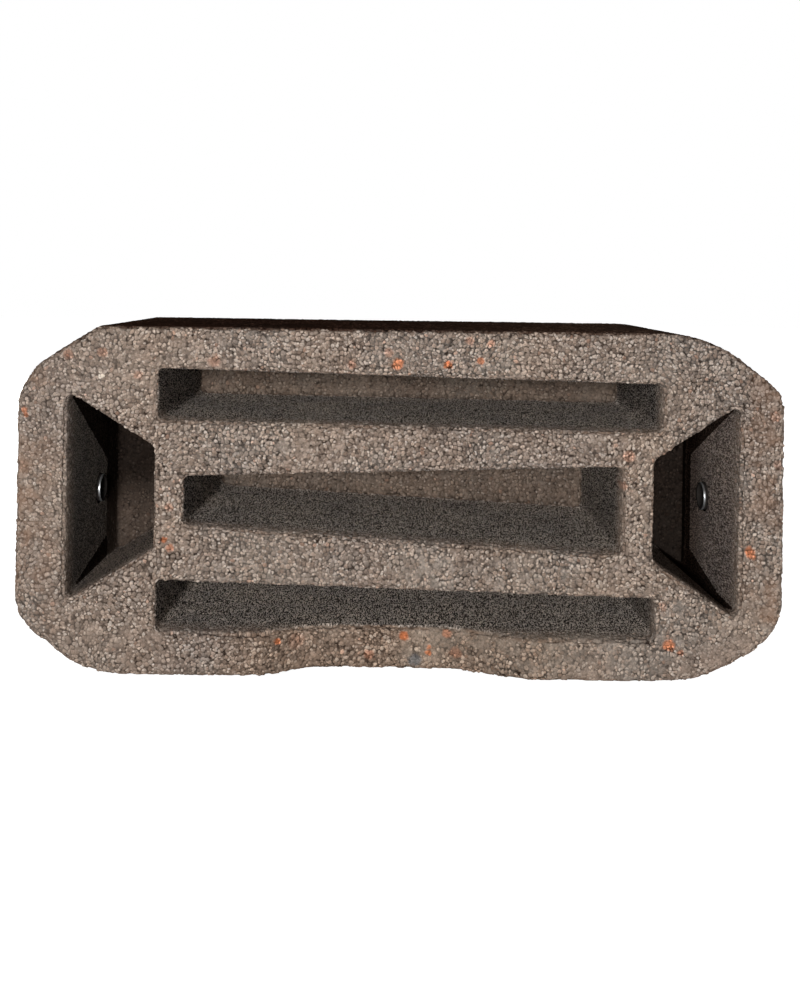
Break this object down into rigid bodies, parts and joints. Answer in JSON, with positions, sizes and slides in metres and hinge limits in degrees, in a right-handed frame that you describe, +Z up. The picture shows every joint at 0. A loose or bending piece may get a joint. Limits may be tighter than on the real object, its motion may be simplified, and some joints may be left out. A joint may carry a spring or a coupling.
{
  "type": "bat box",
  "caption": "Open-faced bat roost block of cast bead concrete, with slot and end chambers, an arched entrance rim and a tube sleeve in each end wall.",
  "frame": {"origin": "middle of the long arched face that the block stands on", "axes": "+X along the block, towards the end that the picture shows at the right; +Y from the open face to the closed back; +Z up"},
  "size_m": [0.49, 0.16, 0.223],
  "materials": {
    "cast_bead_concrete": "coarse open-textured concrete of 3 to 4 mm clay beads, matt, warm grey-brown with a few orange beads",
    "galvanised_tube": "galvanised steel tube, satin"
  },
  "bodies": {
    "root": {"cast_block": "cast_bead_concrete", "left_tube_sleeve": "galvanised_tube", "right_tube_sleeve": "galvanised_tube"}
  },
  "joints": []
}
